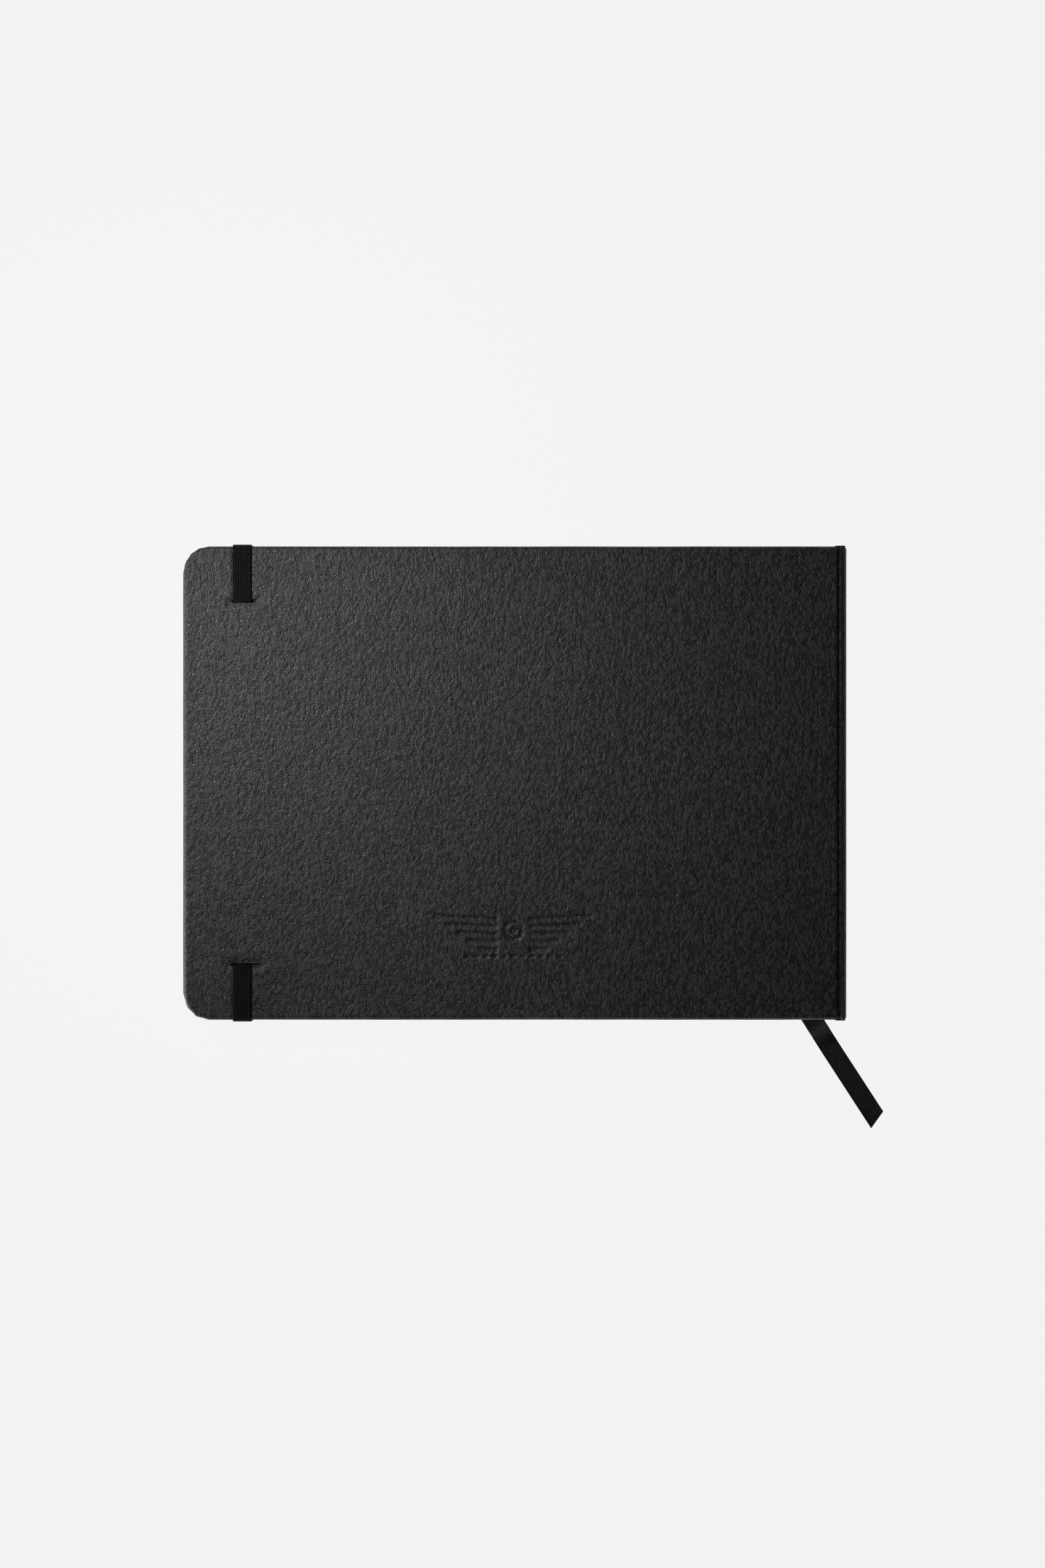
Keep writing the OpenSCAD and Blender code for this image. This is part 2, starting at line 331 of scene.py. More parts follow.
def leatherette(cover):
    """PVC-coated paper embossed with a pebble grain: dull black, with fine glints painted paler on
    the pebbles and wrinkle crests, and painted shade in the seams and over the spine
    """
    material, tree, shader, place = start_material("leatherette_pebble_grain", {
        "Roughness": 0.5, "IOR": 1.5, "Specular IOR Level": 0.42,
        "Sheen Weight": 0.0, "Coat Weight": 0.0})
    # The rolled grain runs a little lengthwise, so its cells are drawn out along Y
    mapping = add_node(tree, "ShaderNodeMapping", None, {
        "Vector": place, "Scale": (1.0, 0.68, 1.0)})
    warp = add_node(tree, "ShaderNodeTexNoise", None, {
        "Vector": mapping.outputs["Vector"], "Scale": 1 / (3.2 * MM), "Detail": 2.0})
    bent = add_node(tree, "ShaderNodeMixRGB", {"blend_type": "LINEAR_LIGHT"}, {
        "Fac": 0.0004, "Color1": mapping.outputs["Vector"], "Color2": warp.outputs["Color"]})
    cells = add_node(tree, "ShaderNodeTexVoronoi", {"feature": "F1"}, {
        "Vector": bent.outputs["Color"], "Scale": 1 / cover.grain_size, "Randomness": 0.9})
    seams = add_node(tree, "ShaderNodeTexVoronoi", {"feature": "DISTANCE_TO_EDGE"}, {
        "Vector": bent.outputs["Color"], "Scale": 1 / cover.grain_size, "Randomness": 0.9})
    wrinkles = add_node(tree, "ShaderNodeTexNoise", None, {
        "Vector": mapping.outputs["Vector"], "Scale": 1 / (1.1 * MM), "Detail": 1.0,
        "Roughness": 0.6})
    seam_ramp = add_node(tree, "ShaderNodeMapRange", None, {
        "Value": seams.outputs["Distance"], "From Min": 0.0, "From Max": 0.22})
    dome = add_node(tree, "ShaderNodeMath", {"operation": "SUBTRACT", "use_clamp": True}, {
        0: 1.0, 1: cells.outputs["Distance"]})
    height = add_node(tree, "ShaderNodeMath", {"operation": "MULTIPLY"}, {
        0: dome.outputs[0], 1: seam_ramp.outputs[0]})
    total = add_node(tree, "ShaderNodeMath", {"operation": "MULTIPLY_ADD"}, {
        0: wrinkles.outputs["Fac"], 1: 5.0, 2: height.outputs[0]})
    emboss(tree, shader, total.outputs[0], 1.0, 0.055 * MM)
    # The seams of the grain hold less shine than the rubbed tops of the pebbles
    rough = add_node(tree, "ShaderNodeMapRange", None, {
        "Value": height.outputs[0], "From Min": 0.0, "From Max": 0.8,
        "To Min": 0.6, "To Max": 0.4})
    tree.links.new(rough.outputs[0], shader.inputs["Roughness"])
    # Painted glint: the crests of the wrinkles and the tops of the pebbles are painted paler, and
    # the seams between the pebbles darker as painted shade
    wrinkle_crest_glint = add_node(tree, "ShaderNodeMapRange", None, {
        "Value": wrinkles.outputs["Fac"], "From Min": 0.42, "From Max": 0.58})
    pebble_glint_and_seam_shade = add_node(tree, "ShaderNodeMath", {"operation": "MULTIPLY_ADD"}, {
        0: height.outputs[0], 1: 0.6, 2: 0.5})
    glint = add_node(tree, "ShaderNodeMath", {"operation": "MULTIPLY"}, {
        0: wrinkle_crest_glint.outputs[0], 1: pebble_glint_and_seam_shade.outputs[0]})
    blotch = add_node(tree, "ShaderNodeTexNoise", None, {
        "Vector": place, "Scale": 1 / (24 * MM), "Detail": 3.0})
    uneven = add_node(tree, "ShaderNodeMath", {"operation": "MULTIPLY_ADD"}, {
        0: blotch.outputs["Fac"], 1: 0.8, 2: 0.6})
    tone = add_node(tree, "ShaderNodeMath", {"operation": "MULTIPLY"}, {
        0: glint.outputs[0], 1: uneven.outputs[0]})
    # Painted shade over the spine: the colour and its grain go dark where the spine strip turns
    # away from the key light
    across = add_node(tree, "ShaderNodeSeparateXYZ", None, {"Vector": place})
    spine_painted_shade = add_node(tree, "ShaderNodeMapRange", None, {
        "Value": across.outputs["X"], "From Min": BOARD_END, "From Max": INLAY_LOW[0],
        "To Min": 1.0, "To Max": 0.12})
    shade = add_node(tree, "ShaderNodeMath", {"operation": "MULTIPLY"}, {
        0: tone.outputs[0], 1: spine_painted_shade.outputs[0]})
    tint(tree, shader.inputs["Base Color"], shade.outputs[0],
         [(0.0, "#020202"), (1.0, cover.colour)])
    return material


def woven_elastic(trim):
    """Braided rubber-cored elastic: matt black yarn over lengthwise ribs"""
    material, tree, shader, place = start_material("woven_elastic_yarn", {
        "Roughness": 0.62, "IOR": 1.45, "Specular IOR Level": 0.05,
        "Sheen Weight": 0.01, "Sheen Roughness": 0.45, "Sheen Tint": (0.6, 0.6, 0.62, 1.0)})
    uv = add_node(tree, "ShaderNodeUVMap", {"uv_map": "strip"}).outputs["UV"]
    weave = add_node(tree, "ShaderNodeTexWave", {"wave_type": "BANDS", "bands_direction": "Y"}, {
        "Vector": uv, "Scale": 1 / (0.5 * MM) * WAVE_REPEAT, "Distortion": 1.6, "Detail": 1.0,
        "Detail Scale": 2.0})
    fuzz = add_node(tree, "ShaderNodeTexNoise", None, {
        "Vector": place, "Scale": 1 / (0.25 * MM), "Detail": 2.0})
    mixed = add_node(tree, "ShaderNodeMath", {"operation": "MULTIPLY_ADD"}, {
        0: fuzz.outputs["Fac"], 1: 0.8, 2: weave.outputs["Fac"]})
    emboss(tree, shader, mixed.outputs[0], 0.8, 0.06 * MM)
    # Painted highlight: the yarn on the rib crests is painted paler, and the furrows between the
    # ribs are painted black as painted shade
    side = add_node(tree, "ShaderNodeSeparateXYZ", None, {"Vector": uv}).outputs["X"]
    phase = add_node(tree, "ShaderNodeMath", {"operation": "MULTIPLY"}, {
        0: side, 1: math.pi * trim.ribs / ELASTIC_W})
    wave = add_node(tree, "ShaderNodeMath", {"operation": "COSINE"}, {0: phase.outputs[0]})
    crest = add_node(tree, "ShaderNodeMath", {"operation": "ABSOLUTE"}, {0: wave.outputs[0]})
    rib_highlight_and_weave = add_node(tree, "ShaderNodeMath", {"operation": "MULTIPLY"}, {
        0: crest.outputs[0], 1: mixed.outputs[0]})
    tint(tree, shader.inputs["Base Color"], rib_highlight_and_weave.outputs[0],
         [(0.35, "#020203"), (1.0, "#1a1a1c")])
    return material


def satin_ribbon():
    """Polyester satin: fine cross ribs that glint, and a dark ground between them"""
    material, tree, shader, _ = start_material("satin_ribbon_polyester", {
        "Roughness": 0.45, "IOR": 1.5, "Specular IOR Level": 0.38,
        "Sheen Weight": 0.04, "Sheen Roughness": 0.4, "Sheen Tint": (0.7, 0.7, 0.72, 1.0)})
    uv = add_node(tree, "ShaderNodeUVMap", {"uv_map": "strip"}).outputs["UV"]
    # Threads of 0.3 mm are drawn 0.55 mm wide, so that they show
    weft = add_node(tree, "ShaderNodeTexWave", {"wave_type": "BANDS", "bands_direction": "Y"}, {
        "Vector": uv, "Scale": 1 / (0.55 * MM) * WAVE_REPEAT, "Distortion": 0.7, "Detail": 1.0})
    warp = add_node(tree, "ShaderNodeTexWave", {"wave_type": "BANDS", "bands_direction": "X"}, {
        "Vector": uv, "Scale": 1 / (0.5 * MM) * WAVE_REPEAT, "Distortion": 0.5, "Detail": 1.0})
    both = add_node(tree, "ShaderNodeMath", {"operation": "MULTIPLY"}, {
        0: weft.outputs["Fac"], 1: warp.outputs["Fac"]})
    emboss(tree, shader, both.outputs[0], 0.9, 0.07 * MM)
    # Painted glint: the thread crossings are painted paler than the dark ground between them
    tint(tree, shader.inputs["Base Color"], both.outputs[0],
         [(0.1, "#060607"), (0.9, "#1b1b1e")])
    return material


def fibrous(name, low, high, fibre, roughness, bump_height, stretch=(1, 1, 1)):
    """Paper, board or cloth seen as short fibres: two tones and a slight tooth"""
    material, tree, shader, place = start_material(name, {
        "Roughness": roughness, "IOR": 1.5, "Specular IOR Level": 0.25})
    mapping = add_node(tree, "ShaderNodeMapping", None, {"Vector": place, "Scale": stretch})
    grain = add_node(tree, "ShaderNodeTexNoise", None, {
        "Vector": mapping.outputs["Vector"], "Scale": 1 / fibre, "Detail": 5.0,
        "Roughness": 0.65})
    tint(tree, shader.inputs["Base Color"], grain.outputs["Fac"],
         [(0.3, low), (0.7, high)])
    emboss(tree, shader, grain.outputs["Fac"], 0.5, bump_height)
    return material


def line_mask(tree, value, pitch, width):
    """1 on thin lines that stand pitch apart along value, 0 between them"""
    steps = add_node(tree, "ShaderNodeMath", {"operation": "DIVIDE"}, {0: value, 1: pitch})
    saw = add_node(tree, "ShaderNodeMath", {"operation": "FRACT"}, {0: steps.outputs[0]})
    mask = add_node(tree, "ShaderNodeMath", {"operation": "LESS_THAN"}, {
        0: saw.outputs[0], 1: width / pitch})
    return mask.outputs[0]


def ruled_paper(pages):
    """Uncoated cream offset paper, printed with a plain grid of grey log columns"""
    material, tree, shader, place = start_material("offset_paper_ruled", {
        "Roughness": 0.85, "IOR": 1.5, "Specular IOR Level": 0.2,
        "Subsurface Weight": 0.05, "Subsurface Radius": (0.001, 0.001, 0.001)})
    grain = add_node(tree, "ShaderNodeTexNoise", None, {
        "Vector": place, "Scale": 1 / (0.8 * MM), "Detail": 4.0})
    paper = add_node(tree, "ShaderNodeValToRGB", None, {"Fac": grain.outputs["Fac"]})
    set_ramp(paper, [(0.3, linear_colour("#efe9da")), (0.7, linear_colour(pages.colour))])
    sheet = add_node(tree, "ShaderNodeUVMap", {"uv_map": "page"}).outputs["UV"]
    axes = add_node(tree, "ShaderNodeSeparateXYZ", None, {"Vector": sheet})
    rows = line_mask(tree, axes.outputs["Y"], pages.ruling, 0.3 * MM)
    columns = line_mask(tree, axes.outputs["X"], 21 * MM, 0.3 * MM)
    grid = add_node(tree, "ShaderNodeMath", {"operation": "MAXIMUM"}, {0: rows, 1: columns})
    # The print stops short of the trimmed edges
    inside_y = add_node(tree, "ShaderNodeMath", {"operation": "COMPARE"}, {
        0: axes.outputs["Y"], 1: 0.0, 2: HALF_PAGE - 8 * MM})
    inside_x = add_node(tree, "ShaderNodeMath", {"operation": "COMPARE"}, {
        0: axes.outputs["X"], 1: (FOLD_X + PAGE_FORE) / 2,
        2: (FOLD_X - PAGE_FORE) / 2 - 10 * MM})
    inside = add_node(tree, "ShaderNodeMath", {"operation": "MULTIPLY"}, {
        0: inside_y.outputs[0], 1: inside_x.outputs[0]})
    ink = add_node(tree, "ShaderNodeMath", {"operation": "MULTIPLY"}, {
        0: grid.outputs[0], 1: inside.outputs[0]})
    mixed = add_node(tree, "ShaderNodeMixRGB", None, {
        "Fac": ink.outputs[0], "Color1": paper.outputs["Color"],
        "Color2": linear_colour("#9aa3ab")})
    tree.links.new(mixed.outputs["Color"], shader.inputs["Base Color"])
    emboss(tree, shader, grain.outputs["Fac"], 0.3, 0.03 * MM)
    return material


def gauze():
    """Open cotton mull stiffened with glue: a loose square weave"""
    material, tree, shader, place = start_material("cotton_mull_gauze", {
        "Roughness": 0.9, "IOR": 1.5, "Specular IOR Level": 0.2})
    axes = add_node(tree, "ShaderNodeSeparateXYZ", None, {"Vector": place})
    threads = add_node(tree, "ShaderNodeMath", {"operation": "MAXIMUM"}, {
        0: line_mask(tree, axes.outputs["Y"], 1.1 * MM, 0.35 * MM),
        1: line_mask(tree, axes.outputs["Z"], 1.1 * MM, 0.35 * MM)})
    mixed = add_node(tree, "ShaderNodeMixRGB", None, {
        "Fac": threads.outputs[0], "Color1": linear_colour("#b9b09a"),
        "Color2": linear_colour("#ece7da")})
    tree.links.new(mixed.outputs["Color"], shader.inputs["Base Color"])
    emboss(tree, shader, threads.outputs[0], 0.8, 0.08 * MM)
    return material


def band_cloth():
    """Woven headband: black silk over a cord, with fine pale core stitches"""
    material, tree, shader, place = start_material("headband_silk", {
        "Roughness": 0.6, "IOR": 1.5, "Specular IOR Level": 0.4,
        "Sheen Weight": 0.2, "Sheen Roughness": 0.4})
    axes = add_node(tree, "ShaderNodeSeparateXYZ", None, {"Vector": place})
    stitches = line_mask(tree, axes.outputs["Z"], 0.9 * MM, 0.25 * MM)
    mixed = add_node(tree, "ShaderNodeMixRGB", None, {
        "Fac": stitches, "Color1": linear_colour("#17171a"), "Color2": linear_colour("#6d6d6f")})
    tree.links.new(mixed.outputs["Color"], shader.inputs["Base Color"])
    emboss(tree, shader, stitches, 0.7, 0.08 * MM)
    return material


def studio_floor():
    """Seamless paper sweep, dark grey in itself, which glows white by its own emission: a painted
    light that keeps it evenly bright and also lights the book's sides
    """
    material, tree, shader, place = start_material("seamless_paper_sweep", {
        "Base Color": linear_colour("#2c2c2c"), "Roughness": 0.9, "Specular IOR Level": 0.0,
        "Emission Strength": 0.885})
    # The sweep's painted glow falls away from its middle, like a pool of light
    reach = add_node(tree, "ShaderNodeVectorMath", {"operation": "LENGTH"}, {0: place})
    fade = add_node(tree, "ShaderNodeMapRange", None, {
        "Value": reach.outputs["Value"], "From Min": 0.7, "From Max": 2.8})
    tint(tree, shader.inputs["Emission Color"], fade.outputs[0],
         [(0.0, "#ffffff"), (1.0, "#a4a6a8")])
    tooth = add_node(tree, "ShaderNodeTexNoise", None, {
        "Vector": place, "Scale": 1 / (2 * MM), "Detail": 2.0})
    emboss(tree, shader, tooth.outputs["Fac"], 0.05, 0.02 * MM)
    return material


# ---- the leatherette case ----

class CaseProfile:
    """The case's outer line across the book, from a board over the crease to mid spine"""

    def __init__(self, cover):
        crease = (BOARD_END + INLAY_LOW[0]) / 2 + 0.05 * MM
        shoulder = 1.9 * MM
        side = SPINE_HIGH[0]
        depth = cover.groove_depth
        knots = [
            (BOARD_END - 3.0 * MM, 0), (BOARD_END - 1.0 * MM, 0),
            (BOARD_END - 0.35 * MM, 0.03 * MM), (BOARD_END + 0.12 * MM, 0.24 * MM),
            (BOARD_END + 0.42 * MM, depth * 0.85), (crease, depth),
            (INLAY_LOW[0] - 0.32 * MM, depth * 0.80), (INLAY_LOW[0] - 0.05 * MM, 0.24 * MM),
            (INLAY_LOW[0] + 0.15 * MM, 0.05 * MM)]
        line = curve_points([Vector((x, -d, 0)) for x, d in knots], 6)
        for k in range(1, 13):
            turn = math.radians(90) * k / 12
            line.append(Vector((side - shoulder + shoulder * math.sin(turn),
                                -shoulder + shoulder * math.cos(turn), 0)))
        line.append(Vector((side, -TOP_Z / 2, 0)))
        self.line = line
        self.start = BOARD_END - 3.0 * MM
        self.places = [self.start]
        for a, b in zip(line, line[1:]):
            self.places.append(self.places[-1] + (b - a).length)
        self.end = self.places[-1]

    def at(self, s):
        """(x, depth below the cover's face, surface direction x and depth) at arc length s"""
        if s <= self.start:
            return s, 0.0, 0.0, 1.0
        k = 0
        while k < len(self.places) - 2 and self.places[k + 1] < s:
            k += 1
        a, b = self.line[k], self.line[k + 1]
        t = (s - self.places[k]) / (self.places[k + 1] - self.places[k])
        p = a.lerp(b, t)
        run = (b - a).normalized()
        return p.x, -p.y, -run.y, run.x

    def thickness(self, s):
        """How thick the wrapped case is at s: board, crease or spine strip"""
        x = self.at(s)[0]
        over_board = 1 - smooth((x - BOARD_END + 0.2 * MM) / (0.5 * MM))
        over_inlay = smooth((x - INLAY_LOW[0] + 0.3 * MM) / (0.5 * MM))
        return 0.9 * MM + over_board * (COVER_T - 0.9 * MM) + over_inlay * 0.75 * MM


def slit_dent(s, y):
    """How deep the back cover's face is drawn down at the two slits"""
    deep = 0.0
    for side in (-1, 1):
        dy = (y - side * SLIT_Y) * side
        # The elastic pulls the slit's inner lip in; the slit runs on past the elastic
        reach = 4.1 * MM if side > 0 else 4.7 * MM
        middle = ELASTIC_X + (0.6 * MM if side > 0 else 1.1 * MM)
        ends = 1 - smooth((abs(s - middle) - reach + 0.5 * MM) / (0.5 * MM))
        slot = ends * (1 - smooth((abs(dy) - 0.30 * MM) / (0.34 * MM)))
        lip = (1 - smooth((abs(s - middle) - reach) / (2.6 * MM))) * \
            (1 - smooth((abs(dy + 0.4 * MM) - 0.3 * MM) / (2.2 * MM)))
        bed = (1 - smooth((abs(s - ELASTIC_X) - ELASTIC_W / 2) / (0.8 * MM))) * \
            smooth((dy + 0.2 * MM) / (0.6 * MM))
        deep = max(deep, 1.5 * MM * slot, 0.26 * MM * lip, 0.10 * MM * bed)
    return deep


def emblem_dent(s, y, cover):
    """A pair of plain stepped wings beside a disc over a row of ticks, pressed into the cover"""
    centre_x = (BACK_LOW[0] + SPINE_HIGH[0]) / 2 - 0.6 * MM
    u = (s - centre_x) / MM
    v = (y + HALF_COVER) / MM - 29.0
    soft = 0.28
    deep = 0.0

    def bar(u0, u1, v0, v1):
        inside = min(u - u0, u1 - u, v - v0, v1 - v)
        return smooth((inside + soft) / (2 * soft))

    if abs(u) < 27 and -9.5 < v < 8:
        radius = math.hypot(u, v)
        deep = max(deep, smooth((3.4 - radius + soft) / (2 * soft))
                   - smooth((2.1 - radius + soft) / (2 * soft)))
        deep = max(deep, smooth((1.1 - radius + soft) / (2 * soft)))
        w = abs(u)
        for k in range(5):
            low = 4.6 - 2.5 * k
            length = 20.5 - 3.6 * k
            lift = 0.045 * (w - 5)
            inside = min(w - 5.2, 5.2 + length - w, v - lift - low + 1.55, low - v + lift)
            deep = max(deep, smooth((inside + soft) / (2 * soft)))
        for k in range(11):
            tick = -15 + 3 * k
            deep = max(deep, bar(tick - 0.8, tick + 0.8, -8.9, -7.9))
        # The foil die leaves a faint crumple inside
        deep *= 1 + 0.22 * noise.noise(Vector((u * 0.9, v * 0.9, 3.0)))
    return deep * cover.emblem_depth


def board_swell(s, y):
    """The covered board isn't quite flat: low waves with a fine unevenness over them"""
    low = noise.noise(Vector((s / (60 * MM), y / (48 * MM), 5.0))) * 0.06 * MM
    fine = noise.noise(Vector((s / (9 * MM), y / (9 * MM), 9.0))) * 0.012 * MM
    return low + fine


def channel_dent(s, y):
    """The straight dent that the elastic presses across the front cover"""
    across = abs(s - ELASTIC_X) - ELASTIC_W / 2
    return 0.63 * MM * (1 - smooth((across - 0.15 * MM) / (0.9 * MM)))


def case_half(name, fore, face, cover, dent, material):
    """Half of the case as one sheet: a board's face, its wrapped edges, the crease, half the spine.
    It is made flat, with its depth along -Z, and then bent over the profile."""
    profile = CaseProfile(cover)
    edge = cover.edge_radius
    low = fore + edge
    half = HALF_COVER - edge
    radius = cover.corner_radius - edge
    columns = spread([
        low, (low + radius, 0.55 * MM), (ELASTIC_X - 6 * MM, 1.4 * MM),
        (ELASTIC_X + 7.5 * MM, 0.32 * MM), (-28.5 * MM, 1.7 * MM),
        (27.0 * MM, 0.42 * MM), (profile.start, 1.7 * MM), (profile.start + 2.2 * MM, 0.5 * MM),
        (profile.start + 7.6 * MM, 0.16 * MM), (profile.end, 0.9 * MM)])
    rows = spread([
        -half, (-half + radius, 0.55 * MM), (-SLIT_Y - 3.2 * MM, 1.2 * MM),
        (-SLIT_Y - 0.9 * MM, 0.3 * MM), (-SLIT_Y + 0.9 * MM, 0.12 * MM),
        (-SLIT_Y + 3.2 * MM, 0.3 * MM), (-HALF_COVER + 38 * MM, 0.40 * MM),
        (SLIT_Y - 3.2 * MM, 1.8 * MM),
        (SLIT_Y - 0.9 * MM, 0.3 * MM), (SLIT_Y + 0.9 * MM, 0.12 * MM),
        (SLIT_Y + 3.2 * MM, 0.3 * MM), (half - radius, 1.2 * MM), (half, 0.55 * MM)])
    mesh = bmesh.new()
    layers = {key: mesh.verts.layers.float.new(key)
              for key in ("x", "y", "out_x", "out_y", "dent")}
    face_verts = grid_sheet(mesh, columns, rows)
    round_corners(face_verts, low, half, radius)
    for v in face_verts:
        s, y = v.co.x, v.co.y
        sunk = dent(s, y)
        v[layers["x"]], v[layers["y"]], v[layers["dent"]] = s, y, sunk
        a, b = low + radius - s, abs(y) - (half - radius)
        side = 1 if y > 0 else -1
        if a > 1e-7 and b > 1e-7:
            away = Vector((-a, side * b, 0)).normalized()
        elif s < low + 1e-6:
            away = Vector((-1, 0, 0))
        else:
            away = Vector((0, side, 0))
        v[layers["out_x"]], v[layers["out_y"]] = away.x, away.y
        v.co.z = -sunk
    rim = [e for e in mesh.edges if e.is_boundary
           and not all(v.co.x > profile.end - 1e-6 for v in e.verts)]
    under = COVERING_T
    steps = [(edge * math.sin(math.radians(a)), edge * (1 - math.cos(math.radians(a))), 0)
             for a in (18, 36, 54, 72, 90)]
    steps += [(edge, -under, 1)]
    steps += [(edge - under * (1 - math.cos(math.radians(a))),
               -under * (1 - math.sin(math.radians(a))), 1) for a in (30, 60, 90)]
    steps += [(edge - 3 * MM, 0, 1), (edge - TURN_IN, 0, 1)]
    for out, down, from_back in steps:
        made = bmesh.ops.extrude_edge_only(mesh, edges=rim)["geom"]
        rim = [g for g in made if isinstance(g, bmesh.types.BMEdge) and g.is_boundary]
        for v in {v for e in rim for v in e.verts}:
            x, y = v[layers["x"]], v[layers["y"]]
            ox, oy = v[layers["out_x"]], v[layers["out_y"]]
            # The leatherette is pleated round a corner, so its edge runs in flats there
            pleat = 0.0
            if abs(ox) > 0.02 and abs(oy) > 0.02:
                flats = 4 if oy > 0 else 3
                flat = math.radians(90) / flats
                turn = math.atan2(abs(oy), abs(ox)) % flat - flat / 2
                pleat = cover.corner_radius * (math.cos(flat / 2) / math.cos(turn) - 1) * 1.25
            wave = 0.05 * MM * noise.noise(Vector((x / (14 * MM), y / (14 * MM), out / MM)))
            reach = out + (wave + pleat) * clamp(out / edge)
            spine_end = smooth((x - BOARD_END) / (0.8 * MM)) * 0.28 * MM * clamp(out / edge)
            depth = (profile.thickness(x) + down) if from_back else down + v[layers["dent"]]
            v.co = (x + ox * reach, y + oy * (reach + spine_end), -depth)
    for v in mesh.verts:
        x, depth, nx, nd = profile.at(v.co.x)
        lift = v.co.z
        x += nx * lift
        depth -= nd * lift
        z = TOP_Z - depth if face > 0 else depth
        v.co = (x, v.co.y, z)
    bmesh.ops.recalc_face_normals(mesh, faces=mesh.faces)
    # An open sheet has no inside, so its face is checked against the board's outward side
    mesh.faces.ensure_lookup_table()
    middle = min(mesh.faces, key=lambda f: (f.calc_center_median()
                                            - Vector((0, 0, TOP_Z if face > 0 else 0))).length)
    if middle.normal.z * face < 0:
        bmesh.ops.reverse_faces(mesh, faces=mesh.faces)
    return finish_mesh(name, mesh, [material])


# ---- strips: elastic and ribbon ----

def strip(name, line, across, width, section, thickness, material):
    """A flat woven strip along line. across(i, run) gives its sideways direction at point i;
    section(u, i, along, total) gives its shift along the line and its surface height."""
    mesh = bmesh.new()
    columns = [i / 24 for i in range(-24, 25)]
    rows = list(range(len(line)))
    uv = mesh.loops.layers.uv.new("strip")
    verts = grid_sheet(mesh, columns, rows)
    lengths = [0.0]
    for a, b in zip(line, line[1:]):
        lengths.append(lengths[-1] + (b - a).length)
    for face in mesh.faces:
        for loop in face.loops:
            u, row = loop.vert.co.x, round(loop.vert.co.y)
            loop[uv].uv = (u * width / 2, lengths[row])
    for v in verts:
        u, i = v.co.x, round(v.co.y)
        run = (line[min(i + 1, len(line) - 1)] - line[max(i - 1, 0)]).normalized()
        side = across(i, run)
        up = side.cross(run).normalized()
        shift, height = section(u, i, lengths[i], lengths[-1])
        v.co = line[i] + side * (u * width / 2) + up * height + run * shift
    made = finish_mesh(name, mesh, [material])
    add_modifier(made, "SOLIDIFY", thickness=thickness, offset=0.0)
    return made


def bend_arc(centre, radius, start, end, count=8):
    """Points of an arc in the YZ plane; angles in degrees, 0 along +Y and 90 along +Z"""
    angles = [math.radians(start + (end - start) * k / count) for k in range(count + 1)]
    return [Vector((ELASTIC_X, centre[0] + radius * math.cos(a), centre[1] + radius * math.sin(a)))
            for a in angles]


def fill_line(points, step):
    """The same line with points no further apart than step"""
    line = [points[0]]
    for a, b in zip(points, points[1:]):
        count = max(1, math.ceil((b - a).length / step))
        line += [a.lerp(b, k / count) for k in range(1, count + 1)]
    return line


def elastic_section(trim, pinch):
    """Ribs across the elastic, and the way that it narrows and buckles into a slit"""
    def section(u, i, along, total):
        ribs = trim.rib_height * abs(math.cos(u * trim.ribs * math.pi / 2))
        edge = -0.10 * MM * smooth((abs(u) - 0.9) / 0.1)
        near = min(along, total - along) / MM
        buckle = pinch * 0.10 * MM * math.cos(u * 3.4 + 0.6) * (1 - smooth(near / 5.5))
        return 0.0, ribs + edge + buckle
    return section


def elastic_across(i, run):
    return Vector((1, 0, 0))


# ---- operators ----

MATERIALS = {}


class LOGBOOK_OT_materials(bpy.types.Operator):
    """Make every material of the logbook and give the kept CAD nodes theirs"""

    bl_idname = "logbook.materials"
    bl_label = "Materials"

    def execute(self, context):
        scene = context.scene
        MATERIALS.update({
            "leatherette": leatherette(scene.logbook_cover),
            "elastic_weave": woven_elastic(scene.logbook_trim),
            "ribbon_satin": satin_ribbon(),
            "greyboard": fibrous("greyboard_pulp", "#8a8377", "#a39b8c", 0.9 * MM, 0.95, 0.06 * MM),
            "lining_paper": fibrous("kraft_lining_paper", "#9c7f58", "#b4966b", 0.7 * MM, 0.9,
                                    0.03 * MM, (1, 0.35, 1)),
            "endpaper": fibrous("endpaper_smooth_ivory", "#e3dcc8", "#efe9d9", 1.2 * MM, 0.8,
                                0.02 * MM),
            "page_paper": ruled_paper(scene.logbook_pages),
            "mull": gauze(),
            "linen_thread": fibrous("waxed_linen_thread", "#d6cdb8", "#efe9da", 0.3 * MM, 0.7,
                                    0.05 * MM, (1, 1, 0.3)),
            "headband_cloth": band_cloth(),
        })
        for row in frame["record"]["subparts"]:
            kept = frame["nodes"][row["node"]]
            material = MATERIALS[row["material_slot"]]
            kept.data.materials.clear()
            kept.data.materials.append(material)
        return {"FINISHED"}


class LOGBOOK_OT_ribbon(bpy.types.Operator):
    """Lay the ribbon marker along its route"""

    bl_idname = "logbook.ribbon"
    bl_label = "Ribbon marker"

    def execute(self, context):
        trim = context.scene.logbook_trim
        lift = trim.ribbon_thickness / 2 + 0.012 * MM
        points = [Vector((BOARD_END + x * MM, y * MM, z * MM + lift)) for x, y, z in RIBBON_ROUTE]
        line = curve_points(points, 10)

        def across(i, run):
            return Vector((run.y, -run.x, 0)).normalized()

        def section(u, i, along, whole):
            # The end is cut on the slant, and the selvedges are a touch thicker
            cut = 1.25 * MM * u * smooth((along - whole + 5 * MM) / (5 * MM))
            selvedge = 0.02 * MM * smooth((abs(u) - 0.9) / 0.1)
            return cut, selvedge

        ribbon = strip("ribbon", line, across, trim.ribbon_width, section,
                       trim.ribbon_thickness, MATERIALS["ribbon_satin"])
        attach(ribbon, "front_cover")
        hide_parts("ribbon_marker")
        return {"FINISHED"}


